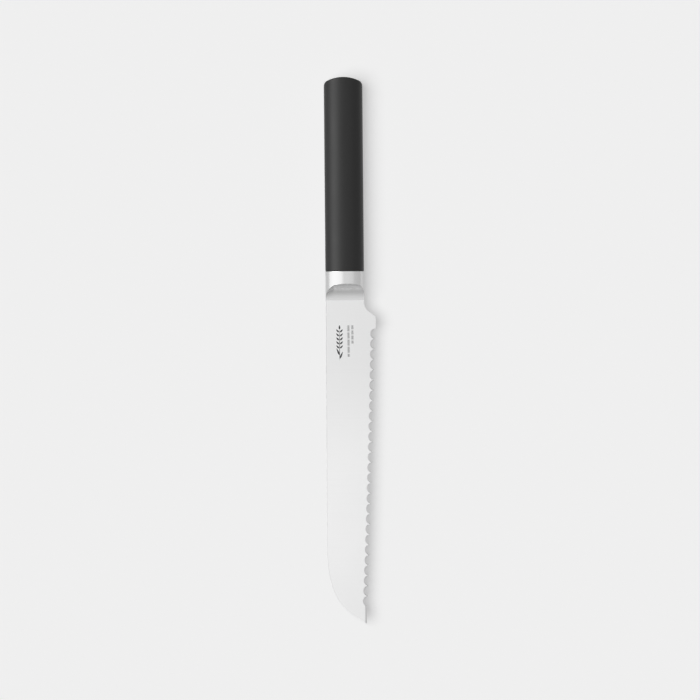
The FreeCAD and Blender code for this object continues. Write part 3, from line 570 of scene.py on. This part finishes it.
def plates(along, across, half_long, half_wide, lean, point=0.0):
    """Rings for thin oval plates: a long half axis along the knife, turned by the lean, and
    drawn out to a point by taking away width in step with the place along the axis.

    The first three rings make the slightly raised top, the last one lies inside the steel."""
    along, across, half_long, half_wide, lean = np.broadcast_arrays(
        *(np.asarray(value, float)[..., None] for value in
          (along, across, half_long, half_wide, lean)))
    u = half_long * np.cos(plate_turn)
    v = half_wide * np.sin(plate_turn) * (1 - point * np.cos(plate_turn))
    rows = np.array([0.55, 0.94, 1.0, 1.0])
    rise = np.array([6, 6, 2, -25]) * HAIR
    u = u[:, None, :] * rows[:, None]
    v = v[:, None, :] * rows[:, None]
    x = across[:, None] + u * np.sin(lean)[:, None] + v * np.cos(lean)[:, None]
    y = along[:, None] + u * np.cos(lean)[:, None] - v * np.sin(lean)[:, None]
    return placed(x, y, face_height(x, y) + rise[:, None])


# %% The ear of wheat
MARK_X = -3.5 * MM
MARK_LOW = JOINT_Y - 54.6 * MM
MARK_HIGH = JOINT_Y - 33.0 * MM
KERNELS = 5
KERNEL_STEP = 2.45 * MM
KERNEL = (1.18 * MM, 0.46 * MM)  # half long, half wide, as for all the plates below
KERNEL_LEAN = 0.75
TOP_KERNEL = (1.2 * MM, 0.5 * MM)
STEM = (9.75 * MM, 0.17 * MM)
LEAF = (2.2 * MM, 0.48 * MM)
LEAF_LEAN = 0.41
kernel_y = MARK_LOW + 8.4 * MM + np.arange(KERNELS) * KERNEL_STEP
ear = skin_rings("mark_ear", np.concatenate([
    plates(kernel_y, MARK_X - 1.2 * MM, *KERNEL, -KERNEL_LEAN, 0.35),
    plates(kernel_y, MARK_X + 1.2 * MM, *KERNEL, KERNEL_LEAN, 0.35),
    plates([MARK_HIGH - TOP_KERNEL[0]], MARK_X, *TOP_KERNEL, 0.0, 0.35),
    plates([MARK_LOW + STEM[0]], MARK_X, *STEM, 0.0),
    plates([MARK_LOW + 3.3 * MM], MARK_X + 1.02 * MM, *LEAF, LEAF_LEAN, 0.45),
    plates([MARK_LOW + 5.5 * MM], MARK_X - 1.02 * MM, *LEAF, -LEAF_LEAN, 0.45),
]))

# %% Two rows of strokes
STROKE_HIGH = JOINT_Y - 33.4 * MM
STROKE_STEP = 0.62 * MM
STROKE = (0.17 * MM, 0.78 * MM)


def stroke_places(length, in_group):
    """Places of strokes in a row: even steps, with every so many-th stroke left out."""
    number = np.arange(int(length / STROKE_STEP))
    return STROKE_HIGH - number[number % in_group != in_group - 1] * STROKE_STEP


strokes = skin_rings("mark_strokes", np.concatenate([
    plates(stroke_places(19.8 * MM, 7), 2.0 * MM, *STROKE, 0.0),
    plates(stroke_places(11.2 * MM, 5), 4.4 * MM, *STROKE, 0.0),
]))
for piece in (ear, strokes):
    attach(piece, "root")

# %% [markdown]
# ## Steel that throws no stray light
#
# Satin steel is a mirror with a soft surface. When a dull table looks for light, Cycles may find
# it through such a mirror, and a bright patch grows under the blade that nobody sees on a real
# table. Steel pieces are therefore hidden from the table's own light search. They still shine,
# still mirror the studio and still throw their shadow. Switching caustics off would do the same,
# but that belongs to the render settings, which this script leaves alone.

# %% Hide the steel from dull surfaces' light search
for piece in (blade, bolster, ear, strokes):
    piece.visible_diffuse = False
print("steel pieces:", blade.name, bolster.name, ear.name, strokes.name)

# %% [markdown]
# ## Building shaders in a few words
#
# A material here is a Principled shader with patterns plugged into it. Patterns that several
# finishes share are node groups with named sockets: built once, placed with their own values.
# Two small helpers keep the wiring readable: one adds a node and fills its inputs, where an
# input may be a number or another node's output, and one starts a group.

# %% Helpers for nodes
def add(tree, kind, settings=None, **inputs):
    """A new node. Inputs are named by their socket, with underscores for spaces; a socket that
    has no useful name is in_0, in_1 and so on."""
    node = tree.nodes.new(kind)
    for name, value in (settings or {}).items():
        setattr(node, name, value)
    for name, value in inputs.items():
        number = name.removeprefix("in_")
        socket = node.inputs[int(number)] if number.isdigit() else node.inputs[
            name.replace("_", " ")]
        if isinstance(value, bpy.types.NodeSocket):
            tree.links.new(value, socket)
        else:
            socket.default_value = value
    return node


def maths(tree, operation, *values):
    """A Math node's result, from numbers or other nodes' outputs in socket order."""
    inputs = {f"in_{number}": value for number, value in enumerate(values)}
    return add(tree, "ShaderNodeMath", {"operation": operation}, **inputs).outputs[0]


def group(name, inputs, outputs):
    """A shader node group with plain number sockets, and its input and output nodes."""
    tree = bpy.data.node_groups.new(name, "ShaderNodeTree")
    for label, value in inputs.items():
        socket = tree.interface.new_socket(label, in_out="INPUT", socket_type="NodeSocketFloat")
        socket.default_value = value
    for label in outputs:
        tree.interface.new_socket(label, in_out="OUTPUT", socket_type="NodeSocketFloat")
    return tree, tree.nodes.new("NodeGroupInput").outputs, tree.nodes.new("NodeGroupOutput").inputs


def place(tree, shared, **inputs):
    """The outputs of a shared group, placed in a tree with its own values."""
    return add(tree, "ShaderNodeGroup", {"node_tree": shared}, **inputs).outputs


def spread(tree, across, along, up):
    """Object coordinates times a density for each axis, in features per metre."""
    place_of_point = add(tree, "ShaderNodeTexCoord").outputs["Object"]
    density = add(tree, "ShaderNodeCombineXYZ", in_0=across, in_1=along, in_2=up).outputs[0]
    scaled = add(tree, "ShaderNodeVectorMath", {"operation": "MULTIPLY"}, in_0=place_of_point,
                 in_1=density)
    return scaled.outputs[0]


# %% [markdown]
# ## Patterns that finishes share
#
# Ground steel is covered in hair-fine lines where the belt has passed, all across the knife.
# A noise that is squeezed along the knife and stretched across it gives those lines. Moulded
# plastic has the fine pebble of its tool. Everything that is handled has soft, large patches
# where skin and cloth have changed the gloss, and corners that are rubbed smooth here and
# there; on the blade the same corner mask carries painted shade along the spine and the ground
# edge. Each of the four is a group.

# %% Grind lines
grind, given, result = group("grind_lines", {"Lines per metre": 9000.0, "Breaks per metre": 60.0},
                             ["Height", "Streaks"])
fine = add(grind, "ShaderNodeTexNoise", Scale=1.0, Detail=3.0, Roughness=0.6,
           Vector=spread(grind, given["Breaks per metre"], given["Lines per metre"],
                         given["Breaks per metre"]))
coarse_lines = maths(grind, "MULTIPLY", given["Lines per metre"], 0.12)
coarse = add(grind, "ShaderNodeTexNoise", Scale=1.0, Detail=2.0,
             Vector=spread(grind, 14.0, coarse_lines, 14.0))
grind.links.new(fine.outputs[0], result["Height"])
grind.links.new(coarse.outputs[0], result["Streaks"])

# %% Moulded pebble
pebble, given, result = group("moulded_pebble", {"Grains per metre": 3200.0}, ["Height", "Tone"])
cells = add(pebble, "ShaderNodeTexVoronoi", {"feature": "SMOOTH_F1"}, Scale=1.0, Smoothness=0.6,
            Vector=spread(pebble, *[given["Grains per metre"]] * 3))
cloud = add(pebble, "ShaderNodeTexNoise", Scale=900.0, Detail=4.0,
            Vector=add(pebble, "ShaderNodeTexCoord").outputs["Object"])
mixed = maths(pebble, "MULTIPLY_ADD", cloud.outputs[0], 0.6, cells.outputs["Distance"])
pebble.links.new(mixed, result["Height"])
pebble.links.new(cloud.outputs[0], result["Tone"])

# %% Handled patches, and rubbed corners that also carry painted shade
handled, given, result = group("handled_patches", {"Patches per metre": 55.0}, ["Mask"])
patches = add(handled, "ShaderNodeTexNoise", Scale=1.0, Detail=5.0, Roughness=0.55,
              Distortion=0.6, Vector=spread(handled, *[given["Patches per metre"]] * 3))
soft = add(handled, "ShaderNodeMapRange", {"interpolation_type": "SMOOTHSTEP"},
           Value=patches.outputs[0], From_Min=0.38, From_Max=0.68)
handled.links.new(soft.outputs[0], result["Mask"])

# the corner mask: rubbing on grip and bolster, painted shade on the blade's spine and ground edge
rubbed_and_painted_shade, given, result = group("rubbed_corners_and_painted_shade", {"Amount": 1.0}, ["Mask"])
corner = add(rubbed_and_painted_shade, "ShaderNodeAttribute", {"attribute_name": "edge"}).outputs["Fac"]
broken = add(rubbed_and_painted_shade, "ShaderNodeTexNoise", Scale=420.0, Detail=4.0,
             Vector=add(rubbed_and_painted_shade, "ShaderNodeTexCoord").outputs["Object"]).outputs[0]
thin = maths(rubbed_and_painted_shade, "MULTIPLY", corner, maths(rubbed_and_painted_shade, "MULTIPLY_ADD", broken, 1.2, -0.1))
strong = add(rubbed_and_painted_shade, "ShaderNodeMath", {"operation": "MULTIPLY", "use_clamp": True},
             in_0=thin, in_1=given["Amount"]).outputs[0]
rubbed_and_painted_shade.links.new(strong, result["Mask"])
print("groups:", ", ".join(tree.name for tree in bpy.data.node_groups))


# %% [markdown]
# ## Finishes
#
# Each finish starts from one helper that makes a material and sets what is the same all over.
# The steel of the blade is satin: wide enough a gloss that the light from the side reaches the
# flat face, so it looks pale. Its base colour carries painted light in three gentle gradients: it
# is a little brighter along the belly and a little darker near the tip and towards the edge.
# The bolster is the same steel, buffed finer. The mark is dark, dull and speckled. The
# grip is black plastic with a fine pebble. What lies inside the handle has its own finish too.

# %% Helpers for finishes
def finish(name, **uniform):
    """A material with a Principled shader, whose uniform values are set on its own sockets."""
    material = bpy.data.materials.new(name)
    material.use_nodes = True
    shader = material.node_tree.nodes["Principled BSDF"]
    for label, value in uniform.items():
        shader.inputs[label.replace("_", " ")].default_value = value
    return material, material.node_tree, shader


def grey(value):
    """A colour with the same red, green and blue."""
    return (value, value, value)


def blend(tree, mask, low, high):
    """A colour between two, by a mask."""
    mix = add(tree, "ShaderNodeMix", {"data_type": "RGBA"})
    mix.inputs[6].default_value = (*low, 1)
    mix.inputs[7].default_value = (*high, 1)
    tree.links.new(mask, mix.inputs[0])
    return mix.outputs[2]


def between(tree, mask, low, high):
    """A number between two, by a mask from 0 to 1."""
    return maths(tree, "MULTIPLY_ADD", mask, high - low, low)


def bumped(tree, shader, height, distance, strength):
    """A height pattern plugged into the shader's Normal through a Bump node."""
    bump = add(tree, "ShaderNodeBump", Height=height, Distance=distance, Strength=strength)
    tree.links.new(bump.outputs[0], shader.inputs["Normal"])


def dress(piece, material):
    """Give a piece one material and no other."""
    piece.data.materials.clear()
    piece.data.materials.append(material)


# %% Ground steel
def ground_steel(name, low, high, lines, smooth, rough, depth):
    """Ground steel: streaks tint it, corners are darker and smoother where they are rubbed, the
    darker corners on the blade being painted shade, and grind lines and handled patches vary its
    gloss."""
    material, tree, shader = finish(name, Metallic=1.0)
    lay = place(tree, grind, Lines_per_metre=lines)
    touched = place(tree, handled)["Mask"]
    rub_and_painted_shade = place(tree, rubbed_and_painted_shade, Amount=0.8)["Mask"]
    streaked = blend(tree, lay["Streaks"], low, high)
    # marked corners darken: on the blade this is painted shade along the spine and the ground edge
    corner_rub_and_painted_shade = maths(tree, "MULTIPLY_ADD", rub_and_painted_shade, -0.34, 1.0)
    tinted = add(tree, "ShaderNodeVectorMath", {"operation": "SCALE"}, in_0=streaked,
                 Scale=corner_rub_and_painted_shade)
    tree.links.new(tinted.outputs[0], shader.inputs["Base Color"])
    gloss = between(tree, lay["Height"], smooth, rough)
    gloss = maths(tree, "MULTIPLY_ADD", touched, 0.02, gloss)
    gloss = maths(tree, "MULTIPLY_ADD", rub_and_painted_shade, -0.06, gloss)
    tree.links.new(gloss, shader.inputs["Roughness"])
    bumped(tree, shader, lay["Height"], depth, 0.5)
    return material


def steadily(tree, value, start, end, low, high):
    """A number that goes smoothly from low to high between two places."""
    smooth = add(tree, "ShaderNodeMapRange", {"interpolation_type": "SMOOTHSTEP"}, Value=value,
                 From_Min=start, From_Max=end, To_Min=low, To_Max=high)
    return smooth.outputs[0]


# %% Satin steel of the blade, and the other steels
blade_steel = ground_steel("satin_blade_steel", grey(0.865), grey(0.895), 9000.0,
                           0.33, 0.41, 4e-6)
tree = blade_steel.node_tree
shader = tree.nodes["Principled BSDF"]
# painted light on the base colour: brighter along the belly, darker towards the tip and towards the
# edge side
spot = add(tree, "ShaderNodeSeparateXYZ",
           Vector=add(tree, "ShaderNodeTexCoord").outputs["Object"]).outputs
belly_painted_light = steadily(tree, spot[1], JOINT_Y - 45 * MM, JOINT_Y - 125 * MM, 1.0, 1.095)
tip_painted_shade = steadily(tree, spot[1], JOINT_Y - 160 * MM, TIP_Y, 1.0, 0.965)
edge_side_painted_shade = steadily(tree, spot[0], AXIS_X - HALF_WIDTH, AXIS_X + HEEL_REACH, 1.008, 0.985)
painted_light_scale = maths(tree, "MULTIPLY", maths(tree, "MULTIPLY", belly_painted_light, tip_painted_shade), edge_side_painted_shade)
ground = shader.inputs["Base Color"].links[0].from_socket
painted_light_colour = add(tree, "ShaderNodeVectorMath", {"operation": "SCALE"}, in_0=ground, Scale=painted_light_scale)
tree.links.new(painted_light_colour.outputs[0], shader.inputs["Base Color"])
dress(blade, blade_steel)
dress(bolster, ground_steel("buffed_bolster_steel", grey(0.785), grey(0.815), 7000.0,
                            0.16, 0.24, 2e-6))
tang_steel = ground_steel("raw_tang_steel", (0.42, 0.42, 0.43), (0.55, 0.55, 0.56),
                          3000.0, 0.38, 0.55, 8e-6)

# %% Etched mark
etched, tree, shader = finish("etched_steel", Metallic=0.35)
speckle = place(tree, pebble, Grains_per_metre=9000.0)
tree.links.new(blend(tree, speckle["Tone"], (0.030, 0.030, 0.032), (0.075, 0.075, 0.078)),
               shader.inputs["Base Color"])
tree.links.new(between(tree, speckle["Height"], 0.42, 0.6), shader.inputs["Roughness"])
dress(ear, etched)
dress(strokes, etched)


# %% Plastic, resin and sealant
def moulded(name, low, high, smooth, rough, grains, depth):
    """Moulded or cured material: a pebble in the surface, patches in its gloss, a trace of
    lighter wear on the rubbed corners."""
    material, tree, shader = finish(name)
    skin = place(tree, pebble, Grains_per_metre=grains)
    touched = place(tree, handled, Patches_per_metre=38.0)["Mask"]
    rub_and_painted_shade = place(tree, rubbed_and_painted_shade, Amount=0.5)["Mask"]
    tint = maths(tree, "MULTIPLY_ADD", rub_and_painted_shade, 0.5, skin["Tone"])
    tree.links.new(blend(tree, tint, low, high), shader.inputs["Base Color"])
    gloss = between(tree, touched, rough, smooth)
    gloss = maths(tree, "MULTIPLY_ADD", rub_and_painted_shade, -0.05, gloss)
    tree.links.new(gloss, shader.inputs["Roughness"])
    bumped(tree, shader, skin["Height"], depth, 0.35)
    return material


dress(grip, moulded("black_grip_plastic", grey(0.006), grey(0.010), 0.33, 0.39, 3200.0, 12e-6))
dress(nodes["joint_seal"], moulded("black_sealant", grey(0.006), grey(0.011), 0.45, 0.6,
                                   2200.0, 15e-6))
dress(nodes["handle_core"], moulded("hard_core_plastic", (0.035, 0.035, 0.037),
                                    (0.055, 0.055, 0.058), 0.42, 0.55, 2400.0, 15e-6))
dress(nodes["tang_bond"], moulded("cured_resin", (0.36, 0.30, 0.17), (0.46, 0.39, 0.24),
                                  0.22, 0.34, 1500.0, 12e-6))
dress(nodes["tang"], tang_steel)
print("finishes:", ", ".join(material.name for material in bpy.data.materials))

# %% [markdown]
# ## Floor and light
#
# The knife lies on a plain pale table under one wide soft light from the left. Two sources share
# the work. A sun with a very wide disc lights what is dull: the table and the plastic. It throws
# the soft shadow to the right. What is glossy mirrors the studio round it, and that is the
# world's colour: bright towards the big light on the left, middling overhead, darker to the
# right and beyond the tip. Area lamps could do both jobs at once, but steel is so sensitive to
# what it mirrors that it is easier to set the two apart. The table glows a little, like a light
# table, so its shadow stays pale, and it shows itself less bright to what mirrors it.

# %% The table
TABLE_GREY = 0.8
TABLE_GLOW = 0.505
MIRRORED_GLOW = 0.32
TABLE_SIZE = 60
table_material, tree, shader = finish("pale_table", Roughness=1.0)
shader.inputs["Base Color"].default_value = (*grey(TABLE_GREY), 1)
shader.inputs["Emission Color"].default_value = (1, 1, 1, 1)
shader.inputs["Specular IOR Level"].default_value = 0.0
mirrored = add(tree, "ShaderNodeLightPath").outputs["Is Glossy Ray"]
glow = between(tree, mirrored, TABLE_GLOW, MIRRORED_GLOW)
tree.links.new(glow, shader.inputs["Emission Strength"])
bpy.ops.mesh.primitive_plane_add(size=TABLE_SIZE)
table = bpy.context.object
table.name = "table"
dress(table, table_material)

# %% The wide light that throws the shadow
LIGHT_STRENGTH = 1.57
LIGHT_DISC = math.radians(52)
LIGHT_TILT = math.radians(-26)
sun = bpy.data.lights.new("wide_light", "SUN")
sun.energy = LIGHT_STRENGTH
sun.angle = LIGHT_DISC
wide_light = bpy.data.objects.new("wide_light", sun)
bpy.context.scene.collection.objects.link(wide_light)
wide_light.rotation_euler = (0, LIGHT_TILT, 0)
wide_light.visible_glossy = False

# %% The studio that glossy things mirror
STUDIO_STRENGTH = 2.5
world = bpy.data.worlds.new("studio")
bpy.context.scene.world = world
world.use_nodes = True
world.cycles_visibility.diffuse = False
sky = world.node_tree
direction = add(sky, "ShaderNodeSeparateXYZ",
                Vector=add(sky, "ShaderNodeTexCoord").outputs["Generated"]).outputs


def tones(value, stops):
    """A smooth scale of greys: each stop is an angle in degrees and a grey."""
    ramp = add(sky, "ShaderNodeValToRGB", Fac=value)
    marks = ramp.color_ramp.elements
    while len(marks) < len(stops):
        marks.new(0.5)
    for mark, (angle, tone) in zip(marks, stops):
        mark.position = (angle + 180) / 360
        mark.color = (*grey(tone), 1)
    return ramp.outputs[0]


# both angles are turned into a share of a full turn, with straight up in the middle
to_left = maths(sky, "MULTIPLY", direction[0], -1.0)
sideways = maths(sky, "ARCTAN2", to_left, direction[2])
sideways = maths(sky, "MULTIPLY_ADD", sideways, 0.5 / math.pi, 0.5)
lengthways = maths(sky, "ARCSINE", direction[1])
lengthways = maths(sky, "MULTIPLY_ADD", lengthways, 0.5 / math.pi, 0.5)
right_to_left = tones(sideways, [(-100, 0.205), (-72, 0.231), (-44, 0.248), (-38, 0.302),
                                 (-8, 0.329), (3, 0.312), (7, 0.358), (16, 0.42), (22, 0.56),
                                 (30, 0.70), (38, 1.0), (57, 1.0), (64, 0.68), (72, 0.42),
                                 (95, 0.376)])
tip_to_butt = tones(lengthways, [(-90, 0.66), (-72, 0.62), (-62, 0.57), (-49, 0.66), (-34, 0.80),
                                 (-20, 0.93), (0, 1.0), (20, 0.95), (45, 0.7), (90, 0.5)])
studio = add(sky, "ShaderNodeMix", {"data_type": "RGBA", "blend_type": "MULTIPLY"})
studio.inputs[0].default_value = 1.0
sky.links.new(right_to_left, studio.inputs[6])
sky.links.new(tip_to_butt, studio.inputs[7])
sky.links.new(studio.outputs[2], sky.nodes["Background"].inputs["Color"])
sky.nodes["Background"].inputs["Strength"].default_value = STUDIO_STRENGTH

# %% [markdown]
# ## Camera
#
# The camera looks straight down from a little over two metres, with a long lens, so the knife
# shows almost no perspective. An orthographic camera would show none at all, but a real one
# always has a little. It is turned by half a degree, so the tip lies a hair to the right of true.

# %% The camera
VIEW_WIDTH = 429.5 * MM
DISTANCE = 2.2
SENSOR = 36
TURN = math.radians(-0.5017)
lens = bpy.data.cameras.new("camera")
lens.sensor_width = SENSOR
lens.lens = SENSOR * (DISTANCE - MID_Z) / VIEW_WIDTH
camera = bpy.data.objects.new("camera", lens)
bpy.context.scene.collection.objects.link(camera)
camera.location = (AXIS_X + 2.855 * MM, JOINT_Y - 48.2 * MM, DISTANCE)
camera.rotation_euler = (0, 0, TURN)
bpy.context.scene.camera = camera
print(f"lens {lens.lens:.0f} mm")

# %% [markdown]
# ## Soft highlights
#
# A plain display clips everything brighter than white, and the steel would lose its shape there.
# A camera lets highlights roll off instead. The filmic transforms do that too, but they change
# the middle greys, which are right as they are. So the plain transform is kept, with a curve on
# top that leaves everything below nine tenths alone and bends only the brightest tones.

# %% The curve for the brightest tones
view = bpy.context.scene.view_settings
view.view_transform = "Standard"
view.use_curve_mapping = True
BRIGHTEST = 2.5
view.curve_mapping.white_level = (BRIGHTEST, BRIGHTEST, BRIGHTEST)
shoulder = view.curve_mapping.curves[3]
for light, shown in ((0.87, 0.87), (1.1, 0.90), (1.35, 0.922), (2.0, 0.957)):
    shoulder.points.new(light / BRIGHTEST, shown)
shoulder.points[-1].location = (1.0, 0.975)
for point in shoulder.points:
    point.handle_type = "VECTOR"
view.curve_mapping.update()
print(f"tones up to {BRIGHTEST} are kept apart")
